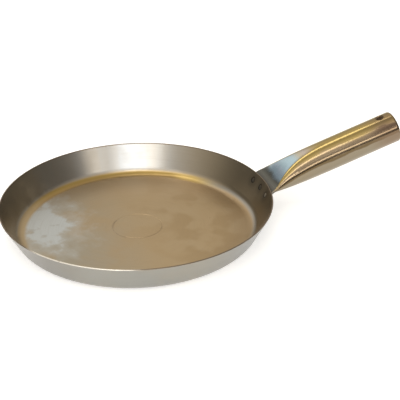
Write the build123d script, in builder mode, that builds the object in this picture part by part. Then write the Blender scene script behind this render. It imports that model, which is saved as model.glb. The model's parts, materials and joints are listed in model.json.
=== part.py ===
"""Crepe pan of pressed carbon steel with a spot-welded tubular handle.

Millimetres and degrees. The origin is the centre of the pan's underside, +Z is up and the
handle points along +X.
"""

from build123d import *
from math import atan, cos, degrees, pi, radians, sin, tan
import os

os.makedirs("parts", exist_ok=True)

# Pan body
rim_diameter = 240.0
pan_height = 28.0
sheet_thickness = 1.2
wall_angle = 62.0
base_fillet = 12.0
rim_edge_radius = 0.35

# Marking ring pressed into the middle of the floor
ring_diameter = 44.0
ring_width = 1.2
ring_depth = 0.2

# Round part of the handle
tube_diameter = 29.0
tube_wall = 1.3
handle_rise = 17.1
handle_length = 131.0
end_roll_radius = 2.4
end_opening = 22.5

# Pressed end of the handle, which opens out into the round tube
pressed_gap = 0.1
swell_length = 85.0
swell_power = 4
crown_share = 0.06
hollow_start = 4.0
ring_pitch = 3.5

# Tab bent down from the pressed end and shaped to the wall of the pan
blade_drop = 1.25
bend_radius = 8.0
tab_reach = 16.0
tab_corner_radius = 9.0
fold_curl_share = 0.5
# How far the tab stands into the wall before the wall's shape is cut away from it
seat_allowance = 0.3

# Hanging hole through the tube
hole_diameter = 7.5
hole_setback = 12.0
hole_edge_radius = 0.5

# Spot welds that join the tab to the wall
weld_count = 3
weld_diameter = 6.0
weld_pitch = 16.0
weld_depth = 7.5
weld_dimple = 0.4

# One overrun for every cut
overrun = 1.0

rim_radius = rim_diameter / 2
tube_radius = tube_diameter / 2
blade_half = tube_wall + pressed_gap / 2
blade_reach = pi * (tube_radius - tube_wall) / 2 + tube_wall
base_corner = rim_radius - pan_height / tan(radians(wall_angle))

# Directions in the upright plane of the handle: up the wall, out of it and along the handle
up_wall = Vector(cos(radians(wall_angle)), 0, sin(radians(wall_angle)))
out_wall = Vector(sin(radians(wall_angle)), 0, -cos(radians(wall_angle)))
along = Vector(cos(radians(handle_rise)), 0, sin(radians(handle_rise)))
rim_point = Vector(rim_radius, 0, pan_height)

# The handle's middle line comes up the wall, bends by this corner and runs on straight
bend_corner = rim_point - up_wall * blade_drop + out_wall * blade_half
bend_turn = radians(wall_angle - handle_rise)
bend_tangent = bend_radius * tan(bend_turn / 2)
bend_length = bend_radius * bend_turn
bend_centre = bend_corner - up_wall * bend_tangent + out_wall * bend_radius
tab_length = tab_reach + overrun - blade_drop - bend_tangent


def pan_profile(inset):
    """Corners of one face of the sheet, set in from the outer one: middle, base and rim."""
    base_run = inset * tan(radians(wall_angle) / 2)
    rim_run = inset / sin(radians(wall_angle))
    return (0, inset), (base_corner - base_run, inset), (rim_radius - rim_run, pan_height)


def square_to(slope):
    """The unit vector square to a path that climbs at this slope, on its upper side."""
    return Vector(-sin(radians(slope)), 0, cos(radians(slope)))


def flattened_ring(origin, thick, reach, half, curl):
    """Outline of a flattened tube: two long arcs joined smoothly by two end arcs.

    It lies across the handle at origin with its height along thick. The curl, one over a radius
    in plan, sets its sides back towards the pan as the rim's curve does.
    """
    tilt = crown_share * half / reach
    end_radius = (half - reach * tilt) / (1 - tilt)
    turn = pi / 2 - 2 * atan(tilt)
    side, rise = reach - end_radius + end_radius * cos(turn), end_radius * sin(turn)
    loop = [
        (side, rise), (0, half), (-side, rise), (-reach, 0),
        (-side, -rise), (0, -half), (side, -rise), (reach, 0),
    ]
    points = []
    for across, high in loop + loop[:1]:
        seat = origin + thick * high
        bent = curl * across
        points.append((seat.X - bent * across / 2, across * (1 - bent**2 / 6), seat.Z))
    arcs = range(0, len(loop), 2)
    return Wire([Edge.make_three_point_arc(*points[start:start + 3]) for start in arcs])


def swell_ring(place, skin=0):
    """Ring of the opening tube, at a place from the bend's end and set in by a skin.

    Its rounded sides grow from the corners of the pressed end as the flat between them narrows.
    """
    grown = 1 - (1 - place / swell_length) ** swell_power
    half = blade_half + (tube_radius - blade_half) * grown - skin
    reach = half + (blade_reach - blade_half) * (1 - grown)
    origin = bend_corner + along * (bend_tangent + place)
    curl = 0 if skin else fold_curl_share * (1 - grown) / origin.X
    return flattened_ring(origin, square_to(handle_rise), reach, half, curl)


def bend_ring(place):
    """Ring of the bend, at a place before the bend's end."""
    share = place / bend_length
    slope = handle_rise + (wall_angle - handle_rise) * share
    spare = seat_allowance / 2 * share
    origin = bend_centre + square_to(slope) * (bend_radius + spare)
    half = blade_half + spare
    curl = (fold_curl_share + (1 - fold_curl_share) * share) / origin.X
    return flattened_ring(origin, square_to(slope), blade_reach, half, curl)


def tab_ring(place):
    """Ring of the tab, at a place before the bend's start. The raw end is cut level."""
    origin = bend_corner - up_wall * (bend_tangent + place) - out_wall * (seat_allowance / 2)
    level = Vector(-1 / sin(radians(wall_angle)), 0, 0)
    thick = square_to(wall_angle) if place < tab_length else level
    half = blade_half + seat_allowance / 2
    return flattened_ring(origin, thick, blade_reach, half, 1 / origin.X)


def handle_rings():
    """Rings at an even pitch from the tab's raw end to the round tube."""
    total = tab_length + bend_length + swell_length
    count = round(total / ring_pitch)
    rings = []
    for index in range(count + 1):
        place = total * index / count - tab_length - bend_length
        if place >= 0:
            rings.append(swell_ring(place))
        elif place >= -bend_length:
            rings.append(bend_ring(-place))
        else:
            rings.append(tab_ring(-place - bend_length))
    return rings


def hollow_rings():
    """Rings of the hollow, from where the pressed walls part to the round tube."""
    count = round((swell_length - hollow_start) / ring_pitch)
    pitch = (swell_length - hollow_start) / count
    return [swell_ring(hollow_start + pitch * index, tube_wall) for index in range(count + 1)]


# Pan body: one sheet with a flat floor, a rounded corner and a straight flared wall
with BuildPart() as pan_body:
    with BuildSketch(Plane.XZ):
        with BuildLine():
            outer = FilletPolyline(*pan_profile(0), radius=base_fillet)
            inner = FilletPolyline(*pan_profile(sheet_thickness), radius=base_fillet - sheet_thickness)
            Line(outer @ 0, inner @ 0)
            Line(outer @ 1, inner @ 1)
        make_face()
    revolve(axis=Axis.Z)
    fillet(pan_body.edges().group_by(Axis.Z)[-1], radius=rim_edge_radius)
    with BuildSketch(Plane.XZ):
        groove_radius = (ring_width**2 / 4 + ring_depth**2) / (2 * ring_depth)
        with Locations((ring_diameter / 2, sheet_thickness + groove_radius - ring_depth)):
            Circle(groove_radius)
    revolve(axis=Axis.Z, mode=Mode.SUBTRACT)

# The space inside the outer face of the wall, which shapes the tab
with BuildPart() as pan_space:
    with BuildSketch(Plane.XZ):
        with BuildLine():
            Polyline(*pan_profile(0), (0, pan_height), close=True)
        make_face()
    revolve(axis=Axis.Z)

# Round part of the handle and the hollow along it
swell_end = bend_corner + along * (bend_tangent + swell_length)
round_length = handle_length - bend_tangent - swell_length
across_tube = Plane(origin=swell_end, x_dir=(0, 1, 0), z_dir=along)
handle_axis = Axis(swell_end, along)

with BuildPart() as hollow:
    add(Solid.make_loft(hollow_rings()))
    with BuildSketch(across_tube):
        Circle(tube_radius - tube_wall)
    extrude(amount=round_length - tube_wall)
    fillet(hollow.faces().sort_by(handle_axis)[-1].edges(), radius=end_roll_radius - tube_wall)

# Handle: one tube, pressed flat and bent at the pan, left round for the hand and rolled in
# round its open end
with BuildPart() as tubular_handle:
    add(Solid.make_loft(handle_rings()))
    with BuildSketch(across_tube):
        Circle(tube_radius)
    extrude(amount=round_length)
    fillet(tubular_handle.faces().sort_by(handle_axis)[-1].edges(), radius=end_roll_radius)
    add(hollow.part, mode=Mode.SUBTRACT)
    with BuildSketch(across_tube.offset(round_length)):
        Circle(end_opening / 2)
    extrude(amount=-(tube_wall + overrun), mode=Mode.SUBTRACT)
    add(pan_space.part, mode=Mode.SUBTRACT)
    # Rounded end of the tab
    with BuildSketch(Plane(origin=rim_point, x_dir=(0, 1, 0), z_dir=out_wall)):
        with Locations((0, -tab_reach)):
            Rectangle(2 * (blade_reach + overrun), 2 * tab_corner_radius)
        RectangleRounded(2 * blade_reach, 2 * tab_reach, tab_corner_radius, mode=Mode.SUBTRACT)
    extrude(amount=tab_corner_radius, both=True, mode=Mode.SUBTRACT)
    # Hanging hole, its outer edges rounded
    hole_centre = bend_corner + along * (handle_length - hole_setback)
    hole_axis = Axis(hole_centre, square_to(handle_rise))
    with BuildSketch(Plane(origin=hole_centre, x_dir=(0, 1, 0), z_dir=hole_axis.direction)):
        Circle(hole_diameter / 2)
    extrude(amount=tube_radius + overrun, both=True, mode=Mode.SUBTRACT)
    hole_edges = tubular_handle.edges(Select.LAST).group_by(hole_axis)
    fillet(hole_edges[0] + hole_edges[-1], radius=hole_edge_radius)

# Spot welds: nuggets through the wall and the tab, dimpled by the electrodes on both sides
weld_radius = weld_diameter / 2
weld_seat = rim_point - up_wall * weld_depth
weld_step = degrees(weld_pitch / weld_seat.X)
for index in range(weld_count):
    turn = weld_step * (index - (weld_count - 1) / 2)
    seat = weld_seat.rotate(Axis.Z, turn)
    side = Vector(0, 1, 0).rotate(Axis.Z, turn)
    out = out_wall.rotate(Axis.Z, turn)
    with BuildPart() as spot_weld:
        with BuildSketch(Plane(origin=seat, x_dir=side, z_dir=side.cross(out))):
            with BuildLine():
                inside, outside = -sheet_thickness, 2 * blade_half
                TangentArc((0, inside + weld_dimple), (weld_radius, inside), tangent=(1, 0))
                Line((weld_radius, inside), (weld_radius, outside))
                TangentArc((0, outside - weld_dimple), (weld_radius, outside), tangent=(1, 0))
                Line((0, outside - weld_dimple), (0, inside + weld_dimple))
            make_face()
        revolve(axis=Axis(seat, out))
    with BuildPart() as weld_bore:
        with BuildSketch(Plane(origin=seat, x_dir=side, z_dir=out)):
            Circle(weld_radius)
        extrude(amount=2 * blade_half + overrun, both=True)
    with pan_body:
        add(weld_bore.part, mode=Mode.SUBTRACT)
    with tubular_handle:
        add(weld_bore.part, mode=Mode.SUBTRACT)
    name = f"spot_weld_{index + 1}"
    spot_weld.part.label = name
    export_step(spot_weld.part, f"parts/{name}.step")

pan_body.part.label = "pan_body"
tubular_handle.part.label = "tubular_handle"
export_step(pan_body.part, "parts/pan_body.step")
export_step(tubular_handle.part, "parts/tubular_handle.step")
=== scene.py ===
"""Crepe pan: surface finish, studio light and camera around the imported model, in metres."""

import json
from math import cos, pi, radians, sin, tan

import bpy
from mathutils import Matrix, Vector


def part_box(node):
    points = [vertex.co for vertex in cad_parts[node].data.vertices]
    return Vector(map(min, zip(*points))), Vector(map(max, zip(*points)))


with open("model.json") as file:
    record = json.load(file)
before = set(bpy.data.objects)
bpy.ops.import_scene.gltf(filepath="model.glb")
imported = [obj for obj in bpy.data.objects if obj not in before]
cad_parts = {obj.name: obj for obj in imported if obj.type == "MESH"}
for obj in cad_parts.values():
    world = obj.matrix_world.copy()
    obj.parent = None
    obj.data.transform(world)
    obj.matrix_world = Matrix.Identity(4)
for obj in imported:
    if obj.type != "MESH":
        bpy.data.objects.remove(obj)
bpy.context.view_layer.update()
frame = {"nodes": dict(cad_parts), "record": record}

# Camera, fitted to the outline of the pan in the photograph. Azimuth 0 looks along +Y.
CAMERA_AZIMUTH = -17.0
CAMERA_ELEVATION = 27.4975
CAMERA_ROLL = -0.448
CAMERA_DISTANCE = 0.96592
CAMERA_TARGET = Vector((0.06813, 0.03258, 0.0))
FOCAL_PIXELS = 1034.85
IMAGE_PIXELS = 400
SENSOR_MM = 36.0

# Floor of the studio
FLOOR_HALF = 8.0
FLOOR_DROP = 0.0002
FLOOR_COLOUR = (0.9, 0.9, 0.9)
FLOOR_ROUGHNESS = 0.9
FLOOR_GLOW = 0.5

# Room: its own level and how much brighter it grows between two heights
ROOM_TINT = (1.0, 0.94, 0.84)
ROOM_LEVEL = 0.15
SKY_LEVEL = 0.46
SKY_HEIGHT = (0.35, 0.9)
# Soft glows in it: azimuth from the camera's, elevation, radiance, and the angles they fall between
GLOWS = (
    (180, 28, 0.50, 10, 50),
    (-22, 33, 0.46, 16, 72),
    (-40, 33, 0.15, 5, 20),
    (0, 64, 0.25, 6, 24),
    (-146, 30, 0.40, 6, 22),
)

# Lamps: name, azimuth from the camera's, elevation, width, height, radiance and colour
LAMP_DISTANCE = 2.2
LAMPS = (
    ("front_lamp", 1, 30, 1.50, 0.95, 2.9, (0.95, 0.98, 1.00)),
    ("side_lamp", 43, 31, 0.38, 0.50, 3.1, (1.00, 0.95, 0.86)),
    ("low_lamp", 35, 19, 0.60, 0.27, 2.6, (1.00, 0.93, 0.82)),
    ("strip_lamp_1", -40, 62, 1.10, 0.30, 1.9, (1.00, 0.95, 0.84)),
    ("strip_lamp_2", 8, 60, 0.80, 0.40, 2.5, (1.00, 0.95, 0.84)),
    ("back_lamp", -150, 71, 0.95, 0.42, 2.5, (1.00, 0.97, 0.95)),
)

# Shape of the pan, as part.py gives it
RIM_RADIUS = 0.120
RIM_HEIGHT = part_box("pan_body")[1][2]
RING_RADIUS = 0.022
WALL_ANGLE = radians(62)
SHEET = 0.0012
CORNER_RADIUS = 0.012
# Radius where the inner faces of floor and wall would meet, and the two where they end at the
# rounded corner
CORNER = RIM_RADIUS - RIM_HEIGHT / tan(WALL_ANGLE) - SHEET * tan(WALL_ANGLE / 2)
CORNER_TANGENT = (CORNER_RADIUS - SHEET) * tan(WALL_ANGLE / 2)
FLOOR_RADIUS = CORNER - CORNER_TANGENT
WALL_RADIUS = CORNER + CORNER_TANGENT * cos(WALL_ANGLE)

# Shape of the handle: its line runs from the bend at the pan through the hanging hole
HOLE = next(mount for mount in frame["record"]["mounts"] if mount["name"] == "hanging_hole")
UPRIGHT = Vector(HOLE["axis"]).normalized()
ALONG = Vector((UPRIGHT.z, 0, -UPRIGHT.x))
BEND_TO_HOLE = 0.119
BEND = Vector(HOLE["pos_m"]) - ALONG * BEND_TO_HOLE
TUBE_RADIUS = 0.0145
TUBE_WALL = 0.0013

WELDS = ("spot_weld_1", "spot_weld_2", "spot_weld_3")

# Noises: grains to a metre, detail and roughness
PAN_CLOUD = (22.0, 4.0, 0.55)
PAN_BLOTCH = (38.0, 2.0, 0.45)
PAN_MOTTLE = (75.0, 4.0, 0.60)
PAN_FLECK = (420.0, 2.0, 0.50)
HANDLE_CLOUD = (45.0, 3.0, 0.50)
HANDLE_FLECK = (600.0, 2.0, 0.50)
WELD_CLOUD = (350.0, 3.0, 0.50)
WELD_FLECK = (1200.0, 2.0, 0.50)
# Noises drawn out one way: their first number multiplies the grains named below them, which are to
# a metre, or for ROUND to one radius of the way round the pan
SPIN_RINGS = (1.0, 3.0, 0.70)
SPIN_ACROSS = 900.0
SPIN_ROUND = 2.0
WALL_STRETCH = (1.6, 3.0, 0.50)
STRETCH_ROUND = 2.5
TUBE_DRAWN = (1.0, 4.0, 0.60)
DRAWN_ALONG = 14.0
DRAWN_ACROSS = 240.0
# Each noise sways about this value
NOISE_MIDDLE = 0.5

# Roughness: the least of each finish, then what its noises and marks add at most
PAN_ROUGHNESS = 0.22
RINGS_ROUGHNESS = 0.08
MOTTLE_ROUGHNESS = 0.08
PATCH_ROUGHNESS = 0.18
HANDLE_ROUGHNESS = 0.10
STREAK_ROUGHNESS = 0.08
FLAT_ROUGHNESS = 0.12
TAB_ROUGHNESS = 0.15
WELD_ROUGHNESS = 0.22
CLOUD_ROUGHNESS = 0.16

# Height of the bumps in metres, and the part of it that rings and streaks have. Flecks have the rest.
PAN_BUMPS = 0.00003
HANDLE_BUMPS = 0.000004
WELD_BUMPS = 0.00003
RINGS_PART = 0.55
STREAK_PART = 0.7

# Below, a pair says where a colour begins to show and where it is full. Its name ends in how it is
# measured: X, Y and Z, OUT from the middle, RUN along the handle from its bend, UP and BACK for how
# far the surface faces up and along Y, TILT for UP made uneven, or LEVEL for a noise between 0 and
# 1. A SHARE is the most of a colour that shows.

# Floor of the pan: colours
STRAW = (0.490, 0.370, 0.220)
GREY_STRAW = (0.400, 0.360, 0.285)
WARM_STRAW = (0.475, 0.345, 0.192)
LIGHT_STRAW = (0.640, 0.500, 0.330)
STAIN = (0.410, 0.290, 0.152)
BROWN = (0.320, 0.225, 0.128)
PATCH = (0.570, 0.600, 0.610)
PATCH_SPOT = (0.420, 0.410, 0.380)
RING = (0.260, 0.190, 0.120)

# Floor of the pan: places
STRAW_X = (-0.075, 0.015)
STAIN_X = (-0.010, 0.050)
BROWN_X = (0.020, 0.090)
BROWN_OUT = (0.070, FLOOR_RADIUS)
LIGHT_X = (0.112, 0.092)
# The light stretch goes by Y and a share of X
LIGHT_FAR = (0.045, 0.085)
LIGHT_SLANT = 0.4
# The pale patch goes by the distance from its centre
PATCH_CENTRE = (-0.080, 0.029, 0.0)
PATCH_SQUEEZE = (1.0, 0.62, 1.0)
PATCH_CORE_OUT = (0.029, 0.017)
PATCH_FRINGE_OUT = (0.049, 0.025)
PATCH_RAGGED = 0.050
PATCH_SCALLOP = 0.030
RING_HALF = 0.0004
RING_SOFT = 0.0005

# Floor of the pan: noise levels and shares
WARM_LEVEL = (0.42, 0.62)
WARM_SHARE = 0.50
STAIN_LEVEL = (0.46, 0.62)
STAIN_SHARE = 0.75
BROWN_SHARE = 0.60
LIGHT_SHARE = 0.45
PATCH_CORE_SHARE = 0.60
PATCH_FRINGE_SHARE = 0.35
SPOT_LEVEL = (0.54, 0.64)
SPOT_SHARE = 0.50
RING_LEVEL = (0.40, 0.54)
RING_SHARE = 0.38

# Rounded corner: colours and places
GOLD = (0.415, 0.285, 0.090)
BURNT_GOLD = (0.290, 0.195, 0.080)
BRIGHT_GOLD = (0.590, 0.430, 0.160)
PALE_GOLD = (0.500, 0.390, 0.240)
CORNER_GREY = (0.440, 0.420, 0.380)
BURNT_OUT = (FLOOR_RADIUS + 0.0078, FLOOR_RADIUS + 0.0020)
# The bright stretch is full between these two places and fades outside them
BRIGHT_X = (0.068, 0.086)
BRIGHT_SOFT = 0.014
RIGHT_X = (0.072, 0.100)
LEFT_X = (-0.060, -0.100)
# The gold goes by the distance past its start, which lies further out at the right end
GOLD_START = FLOOR_RADIUS + 0.002
GOLD_START_RIGHT = 0.004
GOLD_SOFT = (-0.003, 0.001)
WALL_SOFT = 0.003

# Inside of the wall
WALL_GREY = (0.415, 0.410, 0.402)
WALL_MAUVE = (0.430, 0.400, 0.360)
# Brown of the wall's sides: partly a heat tint, partly a painted reflection of the warm room
WALL_BROWN_ROOM_REFLECTION = (0.385, 0.325, 0.235)
WALL_SPECK = (0.340, 0.290, 0.220)
WALL_MAUVE_LEVEL = (0.40, 0.62)
WALL_BROWN_ROOM_REFLECTION_X = (0.032, 0.100)
WALL_SPECK_LEVEL = (0.50, 0.70)
WALL_SPECK_SHARE = 0.12

# Outside of the wall, and the underside
OUTSIDE_GREY = (0.325, 0.318, 0.290)
OUTSIDE_WARM = (0.335, 0.315, 0.272)
OUTSIDE_RIGHT = (0.225, 0.220, 0.205)
OUTSIDE_LEFT = (0.245, 0.230, 0.205)
OUTSIDE_WARM_LEVEL = (0.40, 0.62)
OUTSIDE_RIGHT_X = (0.020, 0.100)
OUTSIDE_LEFT_X = (-0.055, -0.100)
UNDER_DARK = (0.330, 0.300, 0.260)
UNDER_LIGHT = (0.400, 0.350, 0.280)
UNDER_LIGHT_LEVEL = (0.44, 0.58)
UNDER_UP = (-0.60, -0.95)
INSIDE_UP = (-0.12, 0.12)

# Rim with its painted highlight, marks of spinning, and heat marks round the welds
RIM_DARK = (0.200, 0.155, 0.110)
# Near-white painted highlight along the front left of the rim
RIM_PAINTED_HIGHLIGHT = (0.950, 0.910, 0.830)
RIM_Z = (RIM_HEIGHT - 0.0007, RIM_HEIGHT - 0.0002)
RIM_HIGHLIGHT_X = (-0.020, -0.045)
RIM_HIGHLIGHT_END_X = (-0.108, -0.098)
RIM_HIGHLIGHT_Y = (0.0, -0.030)
RIM_HIGHLIGHT_LEVEL = (0.34, 0.44)
SPIN_LINE = (0.280, 0.230, 0.170)
SPIN_LINE_LEVEL = (0.45, 0.75)
SPIN_LINE_SHARE = 0.12
WELD_MARK = (0.110, 0.100, 0.085)
WELD_MARK_OUT = (0.0120, 0.0055)
WELD_MARK_RAGGED = 0.004
WELD_MARK_SHARE = 0.30

# Tube of the handle: colours, where the top, dark and underside ones are a painted highlight tint, a
# painted dark reflection and painted shade
TUBE_TOP_HIGHLIGHT_TINT = (0.385, 0.288, 0.108)
TUBE_SIDE = (0.325, 0.250, 0.168)
TUBE_PAINTED_DARK_REFLECTION = (0.155, 0.112, 0.060)
TUBE_UNDER_PAINTED_SHADE = (0.272, 0.232, 0.168)
TUBE_STREAK = (0.300, 0.230, 0.130)
TUBE_END = (0.215, 0.145, 0.098)
TUBE_MAUVE = (0.100, 0.062, 0.045)
# Pale colour of the painted sheen on the far side
TUBE_FAR_PAINTED_SHEEN = (0.600, 0.520, 0.300)
SCALE = (0.300, 0.210, 0.130)

# Tube of the handle: where they show, by how far the surface faces up
TILT_SWAY = 0.35
TOP_HIGHLIGHT_TILT = (0.60, 0.82)
DARK_REFLECTION_TILT = (0.30, 0.22)
UNDER_SHADE_TILT = (0.12, 0.02)
STREAK_LEVEL = (0.52, 0.72)
STREAK_SHARE = 0.30
END_RUN = (0.098, 0.122)
END_RAGGED = 0.004
END_SHARE = 0.60
# The mauve stretch is full between these two tilts and fades outside them
MAUVE_TILT = (0.50, 0.64)
MAUVE_SOFT = 0.08
MAUVE_RUN = (0.098, 0.118)
MAUVE_SHARE = 0.60
FAR_BACK = (0.02, 0.40)
FAR_RUN = (0.030, 0.060)
FAR_SHARE = 0.80
HOLLOW_RUN = (0.090, 0.100)
HOLLOW_OUT = (TUBE_RADIUS - TUBE_WALL * 0.4, TUBE_RADIUS - TUBE_WALL * 0.8)

# Colours of the pressed end: heat tints, a blue painted reflection of the sky and a white painted
# highlight
# Blue of the flat and its deeper part: a painted reflection of the sky
BLUE_PAINTED_SKY_REFLECTION = (0.440, 0.590, 0.690)
DEEP_BLUE_PAINTED_REFLECTION = (0.215, 0.300, 0.390)
LILAC = (0.520, 0.520, 0.660)
TINT_STRAW = (0.520, 0.450, 0.320)
# Painted highlight along the far edge of the flat
PAINTED_EDGE_HIGHLIGHT = (0.760, 0.780, 0.760)
OXIDE = (0.142, 0.144, 0.130)
TAB_OXIDE = (0.120, 0.115, 0.105)

# Colours of the pressed end: where they show
TINT_RAGGED = 0.016
TINT_STRAW_RUN = (0.026, 0.040)
LILAC_LEVEL = (0.48, 0.60)
LILAC_SHARE = 0.50
PAINTED_EDGE_HIGHLIGHT_Y = (0.008, 0.018)
PAINTED_EDGE_HIGHLIGHT_SHARE = 0.60
DEEP_BLUE_REFLECTION_RUN = (0.024, 0.013)
DEEP_BLUE_REFLECTION_Y = (0.017, 0.007)
DEEP_BLUE_REFLECTION_SHARE = 0.80
OXIDE_RUN = (0.0112, 0.0045)
TAB_RUN = (0.004, -0.001)
TAB_SHARE = 0.80
FLAT_RUN = (0.058, 0.036)
FLAT_BACK = (0.30, 0.12)
FLAT_UP = (0.0, 0.3)

# Weld nuggets
WELD_DULL = (0.235, 0.215, 0.180)
# Colour of the painted glint on the welds at the front
WELD_PAINTED_GLINT = (0.620, 0.580, 0.500)
WELD_BURNT = (0.070, 0.064, 0.055)
WELD_PAINTED_GLINT_Y = (-0.008, -0.014)
WELD_BURNT_OUT = (0.0014, 0.0027)
WELD_RAGGED = 0.0012


def direction(azimuth, elevation):
    """Unit vector from the object towards a place seen at these angles from the camera's side."""
    turn, height = radians(CAMERA_AZIMUTH + azimuth), radians(elevation)
    return Vector((sin(turn) * cos(height), -cos(turn) * cos(height), sin(height)))


def facing(back, distance, centre=Vector()):
    """Matrix of a camera or a lamp that stands back from the centre and looks at it."""
    turn = (-back).to_track_quat("-Z", "Y").to_matrix().to_4x4()
    return Matrix.Translation(centre + back * distance) @ turn


def add_object(name, data):
    added = bpy.data.objects.new(name, data)
    bpy.context.scene.collection.objects.link(added)
    return added


def make_camera():
    data = bpy.data.cameras.new("camera")
    data.sensor_width = SENSOR_MM
    data.lens = FOCAL_PIXELS / IMAGE_PIXELS * SENSOR_MM
    camera = add_object("camera", data)
    roll = Matrix.Rotation(radians(CAMERA_ROLL), 4, "Z")
    camera.matrix_world = facing(direction(0, CAMERA_ELEVATION), CAMERA_DISTANCE, CAMERA_TARGET) @ roll
    bpy.context.scene.camera = camera


def make_lamp(name, azimuth, elevation, width, height, radiance, colour):
    """Soft rectangular lamp that faces the pan and looks this bright from it."""
    data = bpy.data.lights.new(name, "AREA")
    data.shape = "RECTANGLE"
    data.size, data.size_y = width, height
    data.energy = radiance * pi * width * height
    data.color = colour
    lamp = add_object(name, data)
    lamp.matrix_world = facing(direction(azimuth, elevation), LAMP_DISTANCE)


class Graph:
    """Short way to write the nodes of a material or of the world."""

    def __init__(self, tree):
        self.tree = tree

    def node(self, kind, **settings):
        node = self.tree.nodes.new("ShaderNode" + kind)
        for name, value in settings.items():
            setattr(node, name, value)
        return node

    def feed(self, socket, value):
        if isinstance(value, bpy.types.NodeSocket):
            self.tree.links.new(value, socket)
        else:
            socket.default_value = value

    def feed_all(self, node, *values):
        for socket, value in zip(node.inputs, values):
            self.feed(socket, value)

    def math(self, operation, *values):
        node = self.node("Math", operation=operation)
        self.feed_all(node, *values)
        return node.outputs[0]

    def total(self, first, *others):
        for other in others:
            first = self.math("ADD", first, other)
        return first

    def product(self, first, *others):
        for other in others:
            first = self.math("MULTIPLY", first, other)
        return first

    def vector(self, operation, *values):
        node = self.node("VectorMath", operation=operation)
        self.feed_all(node, *values)
        return node.outputs["Value" if operation in ("LENGTH", "DOT_PRODUCT", "DISTANCE") else "Vector"]

    def step(self, value, low, high, top=1.0):
        """Rises smoothly from 0 at low to top at high, or falls where low is the larger."""
        node = self.node("MapRange", interpolation_type="SMOOTHSTEP")
        self.feed_all(node, value, low, high, 0.0, top)
        return node.outputs[0]

    def band(self, value, low, high, soft):
        """1 between low and high, falling to 0 over a soft edge outside them."""
        rise = self.step(value, low - soft, low)
        return self.product(rise, self.step(value, high + soft, high))

    def mix(self, share, first, second):
        """Colour that goes from the first to the second as the share goes from 0 to 1."""
        node = self.node("Mix", data_type="RGBA")
        self.feed(node.inputs[0], share)
        for socket, colour in zip(node.inputs[6:8], (first, second)):
            self.feed(socket, colour if isinstance(colour, bpy.types.NodeSocket) else (*colour, 1))
        return node.outputs[2]

    def noise(self, place, scale, detail, roughness):
        node = self.node("TexNoise")
        settings = {"Vector": place, "Scale": scale, "Detail": detail, "Roughness": roughness}
        for name, value in settings.items():
            self.feed(node.inputs[name], value)
        return node.outputs[0]

    def sway(self, noise, span):
        """The noise as a shift to both sides of zero, over this span in all."""
        return self.product(self.total(noise, -NOISE_MIDDLE), span)

    def split(self, vector):
        node = self.node("SeparateXYZ")
        self.feed(node.inputs[0], vector)
        return node.outputs

    def join(self, *values):
        node = self.node("CombineXYZ")
        self.feed_all(node, *values)
        return node.outputs[0]


class Steel(Graph):
    """Bare steel whose colour, roughness and bump vary with the place on the object."""

    def __init__(self, name):
        self.material = bpy.data.materials.new(name)
        self.material.use_nodes = True
        super().__init__(self.material.node_tree)
        self.shader = self.tree.nodes["Principled BSDF"]
        self.shader.inputs["Metallic"].default_value = 1.0
        self.place = self.node("TexCoord").outputs["Object"]
        self.x, self.y, self.z = self.split(self.place)

    def normal(self):
        """How far the surface faces along X, Y and Z."""
        return self.split(self.node("NewGeometry").outputs["Normal"])

    def finish(self, colour, roughness, height, depth):
        """Height goes from 0 to 1 and depth is the height of its bumps in metres."""
        bump = self.node("Bump")
        bump.inputs["Strength"].default_value = 1.0
        bump.inputs["Distance"].default_value = depth
        self.feed(bump.inputs["Height"], height)
        self.feed(self.shader.inputs["Base Color"], colour)
        self.feed(self.shader.inputs["Roughness"], roughness)
        self.feed(self.shader.inputs["Normal"], bump.outputs[0])
        return self.material


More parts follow.
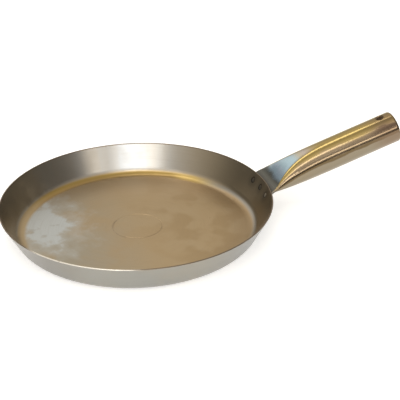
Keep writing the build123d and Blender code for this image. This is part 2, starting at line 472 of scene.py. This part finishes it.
class PanSteel(Steel):
    """Spun sheet: straw and gold heat tints inside, grey outside, with a pale patch and soft stains, wall
    sides browned partly by a painted room reflection, and a painted highlight on the rim.
    """

    def __init__(self):
        super().__init__("pan_steel_finish")
        self.upward = self.normal()[2]
        self.radius = self.vector("LENGTH", self.join(self.x, self.y, 0.0))
        self.across = self.math("DIVIDE", self.x, self.radius)
        self.deep = self.math("DIVIDE", self.y, self.radius)
        self.cloud = self.noise(self.place, *PAN_CLOUD)
        self.blotch = self.noise(self.place, *PAN_BLOTCH)
        self.mottle = self.noise(self.place, *PAN_MOTTLE)
        self.patch = self.pale_patch()

    def round_place(self, turns, outward):
        """Place for noise that runs round the pan: turns says how much it changes on the way."""
        return self.join(self.product(self.across, turns), self.product(self.deep, turns), outward)

    def pale_patch(self):
        """Share of the pale patch, with a scalloped edge and a soft fringe."""
        offset = self.vector("SUBTRACT", self.place, PATCH_CENTRE)
        distance = self.vector("LENGTH", self.vector("MULTIPLY", offset, PATCH_SQUEEZE))
        ragged = self.total(
            distance, self.sway(self.mottle, PATCH_RAGGED), self.sway(self.blotch, PATCH_SCALLOP)
        )
        core = self.step(ragged, *PATCH_CORE_OUT, top=PATCH_CORE_SHARE)
        return self.total(core, self.step(ragged, *PATCH_FRINGE_OUT, top=PATCH_FRINGE_SHARE))

    def floor(self):
        """Straw to the right, greyer to the left, browner at the handle, with the pressed ring."""
        colour = self.mix(self.step(self.x, *STRAW_X), GREY_STRAW, STRAW)
        colour = self.mix(self.step(self.cloud, *WARM_LEVEL, top=WARM_SHARE), colour, WARM_STRAW)
        stain = self.product(self.step(self.blotch, *STAIN_LEVEL), self.step(self.x, *STAIN_X))
        colour = self.mix(self.product(stain, STAIN_SHARE), colour, STAIN)
        edge = self.product(self.step(self.radius, *BROWN_OUT), self.step(self.x, *BROWN_X))
        colour = self.mix(self.product(edge, BROWN_SHARE), colour, BROWN)
        far = self.total(self.y, self.product(self.math("MAXIMUM", self.x, 0.0), LIGHT_SLANT))
        light = self.product(self.step(far, *LIGHT_FAR), self.step(self.x, *LIGHT_X))
        colour = self.mix(self.product(light, LIGHT_SHARE), colour, LIGHT_STRAW)
        colour = self.mix(self.patch, colour, PATCH)
        spots = self.product(self.patch, self.step(self.mottle, *SPOT_LEVEL))
        colour = self.mix(self.product(spots, SPOT_SHARE), colour, PATCH_SPOT)
        # The ring is worn away in places
        line = self.band(self.radius, RING_RADIUS - RING_HALF, RING_RADIUS + RING_HALF, RING_SOFT)
        unworn = self.step(self.cloud, *RING_LEVEL)
        return self.mix(self.product(line, unworn, RING_SHARE), colour, RING)

    def corner(self, floor):
        """Rounded corner over the floor: gold, paler at the left end and grey at the right."""
        right_end = self.step(self.x, *RIGHT_X)
        gold = self.mix(self.step(self.radius, *BURNT_OUT), GOLD, BURNT_GOLD)
        gold = self.mix(self.band(self.x, *BRIGHT_X, BRIGHT_SOFT), gold, BRIGHT_GOLD)
        gold = self.mix(right_end, gold, CORNER_GREY)
        gold = self.mix(self.step(self.x, *LEFT_X), gold, PALE_GOLD)
        start = self.total(GOLD_START, self.product(right_end, GOLD_START_RIGHT))
        past_start = self.step(self.math("SUBTRACT", self.radius, start), *GOLD_SOFT)
        before_wall = self.step(self.radius, WALL_RADIUS, WALL_RADIUS - WALL_SOFT)
        return self.mix(self.product(past_start, before_wall), floor, gold)

    def wall(self):
        """Inside of the wall: grey in front and behind, warmer and browner at the sides, partly a heat
        tint and partly a painted reflection of the warm room.
        """
        stretch = self.noise(self.round_place(STRETCH_ROUND, self.z), *WALL_STRETCH)
        colour = self.mix(self.step(stretch, *WALL_MAUVE_LEVEL), WALL_GREY, WALL_MAUVE)
        # Browner at the sides: partly heat tint, partly painted reflection of the warm room
        colour = self.mix(self.step(self.math("ABSOLUTE", self.x), *WALL_BROWN_ROOM_REFLECTION_X), colour, WALL_BROWN_ROOM_REFLECTION)
        speck = self.step(self.mottle, *WALL_SPECK_LEVEL, top=WALL_SPECK_SHARE)
        return self.mix(speck, colour, WALL_SPECK)

    def outside(self):
        """Outside of the wall, darker at both ends, and the blotched underside."""
        colour = self.mix(self.step(self.cloud, *OUTSIDE_WARM_LEVEL), OUTSIDE_GREY, OUTSIDE_WARM)
        colour = self.mix(self.step(self.x, *OUTSIDE_RIGHT_X), colour, OUTSIDE_RIGHT)
        colour = self.mix(self.step(self.x, *OUTSIDE_LEFT_X), colour, OUTSIDE_LEFT)
        under = self.mix(self.step(self.cloud, *UNDER_LIGHT_LEVEL), UNDER_DARK, UNDER_LIGHT)
        return self.mix(self.step(self.upward, *UNDER_UP), colour, under)

    def rim(self):
        """Edge of the sheet: dark, with a painted highlight in broken stretches along the front left."""
        # Where the painted highlight shows, broken into stretches by noise
        wear_and_painted_glint = self.product(
            self.step(self.mottle, *RIM_HIGHLIGHT_LEVEL),
            self.step(self.x, *RIM_HIGHLIGHT_X),
            self.step(self.x, *RIM_HIGHLIGHT_END_X),
            self.step(self.y, *RIM_HIGHLIGHT_Y),
        )
        return self.mix(wear_and_painted_glint, RIM_DARK, RIM_PAINTED_HIGHLIGHT)

    def make(self):
        """The whole sheet: floor, corner and wall, then the outside, the rim and the marks."""
        in_wall = self.step(self.radius, WALL_RADIUS - WALL_SOFT, WALL_RADIUS)
        colour = self.mix(in_wall, self.corner(self.floor()), self.wall())
        inside = self.step(self.upward, *INSIDE_UP)
        colour = self.mix(inside, self.outside(), colour)
        colour = self.mix(self.step(self.z, *RIM_Z), colour, self.rim())
        # Dark heat marks round the welds
        for weld in weld_places():
            distance = self.total(
                self.vector("DISTANCE", self.place, weld), self.product(self.mottle, WELD_MARK_RAGGED)
            )
            mark = self.step(distance, *WELD_MARK_OUT, top=WELD_MARK_SHARE)
            colour = self.mix(mark, colour, WELD_MARK)
        # Fine rings left by spinning: long round the pan and narrow across it
        outward = self.product(self.total(self.radius, self.z), SPIN_ACROSS)
        rings = self.noise(self.round_place(SPIN_ROUND, outward), *SPIN_RINGS)
        colour = self.mix(self.step(rings, *SPIN_LINE_LEVEL, top=SPIN_LINE_SHARE), colour, SPIN_LINE)

        roughness = self.total(
            PAN_ROUGHNESS,
            self.product(rings, RINGS_ROUGHNESS),
            self.product(self.mottle, MOTTLE_ROUGHNESS),
            self.product(self.patch, inside, PATCH_ROUGHNESS),
        )
        fleck = self.noise(self.place, *PAN_FLECK)
        height = self.total(self.product(rings, RINGS_PART), self.product(fleck, 1 - RINGS_PART))
        return self.finish(colour, roughness, height, PAN_BUMPS)


class HandleSteel(Steel):
    """Drawn tube: gold tint with lengthwise streaks, with a painted highlight tint, dark reflection,
    shade and far-side sheen by how it faces, and heat tints, dark oxide and a painted blue sky reflection
    on the pressed end.
    """

    def __init__(self):
        super().__init__("handle_steel_finish")
        self.backward, self.upward = self.normal()[1:]
        from_bend = self.vector("SUBTRACT", self.place, BEND)
        self.run = self.vector("DOT_PRODUCT", from_bend, ALONG)
        self.drop = self.vector("DOT_PRODUCT", from_bend, -UPRIGHT)
        drawn = self.join(
            self.product(self.run, DRAWN_ALONG),
            self.product(self.y, DRAWN_ACROSS),
            self.product(self.drop, DRAWN_ACROSS),
        )
        self.streak = self.noise(drawn, *TUBE_DRAWN)
        self.cloud = self.noise(self.place, *HANDLE_CLOUD)
        self.tilt = self.total(self.upward, self.sway(self.cloud, TILT_SWAY))

    def tube(self):
        """Round the tube by how it faces: yellow on top, partly the steel's tint and partly a painted
        highlight colour, brown at the sides, a painted dark reflection, and dull brown painted shade
        underneath.
        """
        # Yellow on top: partly the steel's tint, partly a painted highlight colour
        colour = self.mix(self.step(self.tilt, *TOP_HIGHLIGHT_TILT), TUBE_SIDE, TUBE_TOP_HIGHLIGHT_TINT)
        # Dark stretch below the sides: a painted dark reflection
        colour = self.mix(self.step(self.tilt, *DARK_REFLECTION_TILT), colour, TUBE_PAINTED_DARK_REFLECTION)
        # Dull brown underneath: painted shade
        colour = self.mix(self.step(self.tilt, *UNDER_SHADE_TILT), colour, TUBE_UNDER_PAINTED_SHADE)
        return self.mix(self.step(self.streak, *STREAK_LEVEL, top=STREAK_SHARE), colour, TUBE_STREAK)

    def tint(self, ragged_run):
        """Colours of the pressed end: dark oxide, lilac and straw heat tints, blue as a painted
        reflection of the sky, and a painted highlight along the far edge.
        """
        # Painted blue sky reflection, giving way to straw further along
        colour = self.mix(self.step(ragged_run, *TINT_STRAW_RUN), BLUE_PAINTED_SKY_REFLECTION, TINT_STRAW)
        colour = self.mix(self.step(self.cloud, *LILAC_LEVEL, top=LILAC_SHARE), colour, LILAC)
        # Painted highlight along the far edge
        colour = self.mix(self.step(self.y, *PAINTED_EDGE_HIGHLIGHT_Y, top=PAINTED_EDGE_HIGHLIGHT_SHARE), colour, PAINTED_EDGE_HIGHLIGHT)
        # Deeper blue of the painted sky reflection
        reflected_blue = self.product(self.step(ragged_run, *DEEP_BLUE_REFLECTION_RUN), self.step(self.y, *DEEP_BLUE_REFLECTION_Y))
        colour = self.mix(self.product(reflected_blue, DEEP_BLUE_REFLECTION_SHARE), colour, DEEP_BLUE_PAINTED_REFLECTION)
        return self.mix(self.step(ragged_run, *OXIDE_RUN), colour, OXIDE)

    def free_end(self, colour):
        """Browner towards the free end, with a mauve stretch, and paler on the far side, where a painted
        sheen lightens it.
        """
        ragged = self.total(self.run, self.product(self.streak, END_RAGGED))
        colour = self.mix(self.step(ragged, *END_RUN, top=END_SHARE), colour, TUBE_END)
        mauve = self.band(self.tilt, *MAUVE_TILT, MAUVE_SOFT)
        mauve = self.product(mauve, self.step(self.run, *MAUVE_RUN), MAUVE_SHARE)
        colour = self.mix(mauve, colour, TUBE_MAUVE)
        # Painted sheen that lightens the side facing away
        far_sheen = self.product(self.step(self.backward, *FAR_BACK), self.step(self.run, *FAR_RUN))
        return self.mix(self.product(far_sheen, FAR_SHARE), colour, TUBE_FAR_PAINTED_SHEEN)

    def make(self):
        """The whole handle: tube, flat with heat tints and a painted sky reflection, dark tab, free end
        and hollow.
        """
        ragged_run = self.total(self.run, self.sway(self.cloud, TINT_RAGGED))
        # Up-facing flat of the pressed end, where the tints and the painted sky reflection show
        flat = self.product(
            self.step(self.math("ABSOLUTE", self.backward), *FLAT_BACK),
            self.step(self.upward, *FLAT_UP),
            self.step(ragged_run, *FLAT_RUN),
        )
        colour = self.mix(flat, self.tube(), self.tint(ragged_run))
        tab = self.step(self.run, *TAB_RUN)
        colour = self.mix(self.product(tab, TAB_SHARE), colour, TAB_OXIDE)
        colour = self.free_end(colour)
        # Dark scale in the hollow, which isn't bare metal
        gap = self.vector("LENGTH", self.join(0.0, self.y, self.drop))
        hollow = self.product(self.step(gap, *HOLLOW_OUT), self.step(self.run, *HOLLOW_RUN))
        colour = self.mix(hollow, colour, SCALE)
        self.feed(self.shader.inputs["Metallic"], self.math("SUBTRACT", 1.0, hollow))

        roughness = self.total(
            HANDLE_ROUGHNESS,
            self.product(self.streak, STREAK_ROUGHNESS),
            self.product(flat, FLAT_ROUGHNESS),
            self.product(tab, TAB_ROUGHNESS),
        )
        fleck = self.noise(self.place, *HANDLE_FLECK)
        height = self.total(self.product(self.streak, STREAK_PART), self.product(fleck, 1 - STREAK_PART))
        return self.finish(colour, roughness, height, HANDLE_BUMPS)


def weld_finish(name, centre):
    """Nugget: burnt at its edge and worn dull in the middle of the dimple, with a painted glint that
    makes it brightest at the front.
    """
    steel = Steel(name + "_finish")
    out = Vector((centre.x, centre.y, 0)).normalized() * sin(WALL_ANGLE) - Vector((0, 0, cos(WALL_ANGLE)))
    offset = steel.vector("SUBTRACT", steel.place, centre)
    gap = steel.vector("LENGTH", steel.vector("CROSS_PRODUCT", offset, out))
    cloud = steel.noise(steel.place, *WELD_CLOUD)
    # Dull worn middle, turning to a painted glint towards the front
    wear_and_painted_glint = steel.mix(steel.step(steel.y, *WELD_PAINTED_GLINT_Y), WELD_DULL, WELD_PAINTED_GLINT)
    edge = steel.step(steel.total(gap, steel.sway(cloud, WELD_RAGGED)), *WELD_BURNT_OUT)
    colour = steel.mix(edge, wear_and_painted_glint, WELD_BURNT)
    roughness = steel.total(WELD_ROUGHNESS, steel.product(cloud, CLOUD_ROUGHNESS))
    fleck = steel.noise(steel.place, *WELD_FLECK)
    return steel.finish(colour, roughness, fleck, WELD_BUMPS)


def weld_places():
    """Middle of each weld nugget."""
    return [(Vector(low) + Vector(high)) / 2 for low, high in map(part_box, WELDS)]


def make_world():
    """Pale room with a dim horizon at the sides, brighter above, in front and behind."""
    world = bpy.data.worlds.new("world")
    bpy.context.scene.world = world
    world.use_nodes = True
    graph = Graph(world.node_tree)
    light = world.node_tree.nodes["Background"]
    outward = graph.node("TexCoord").outputs["Generated"]
    height = graph.split(outward)[2]
    level = graph.total(ROOM_LEVEL, graph.step(height, *SKY_HEIGHT, top=SKY_LEVEL))
    for azimuth, elevation, radiance, inner, outer in GLOWS:
        near = graph.vector("DOT_PRODUCT", outward, direction(azimuth, elevation))
        glow = graph.step(near, cos(radians(outer)), cos(radians(inner)), top=radiance)
        level = graph.total(level, glow)
    light.inputs["Color"].default_value = (*ROOM_TINT, 1)
    graph.feed(light.inputs["Strength"], level)


def make_floor():
    corners = [(-1, -1), (1, -1), (1, 1), (-1, 1)]
    mesh = bpy.data.meshes.new("floor")
    mesh.from_pydata([(x * FLOOR_HALF, y * FLOOR_HALF, 0) for x, y in corners], [], [(0, 1, 2, 3)])
    floor = add_object("floor", mesh)
    floor.location.z = -FLOOR_DROP
    material = bpy.data.materials.new("floor")
    material.use_nodes = True
    graph = Graph(material.node_tree)
    shader = graph.tree.nodes["Principled BSDF"]
    shader.inputs["Base Color"].default_value = (*FLOOR_COLOUR, 1)
    shader.inputs["Roughness"].default_value = FLOOR_ROUGHNESS
    shader.inputs["Specular IOR Level"].default_value = 0.0
    # Seen directly, in metal or through glass, the floor is white but keeps the shadow
    path = graph.node("LightPath").outputs
    seen = graph.math("MAXIMUM", path["Is Camera Ray"], path["Is Glossy Ray"])
    seen = graph.math("MAXIMUM", seen, path["Is Transmission Ray"])
    shader.inputs["Emission Color"].default_value = (1, 1, 1, 1)
    graph.feed(shader.inputs["Emission Strength"], graph.product(seen, FLOOR_GLOW))
    mesh.materials.append(material)


def dress(node, material):
    for slot in frame["nodes"][node].material_slots:
        slot.material = material


make_camera()
make_world()
make_floor()
for lamp in LAMPS:
    make_lamp(*lamp)

dress("pan_body", PanSteel().make())
dress("tubular_handle", HandleSteel().make())
for name, centre in zip(WELDS, weld_places()):
    dress(name, weld_finish(name, centre))

bpy.context.scene.view_settings.view_transform = "Standard"
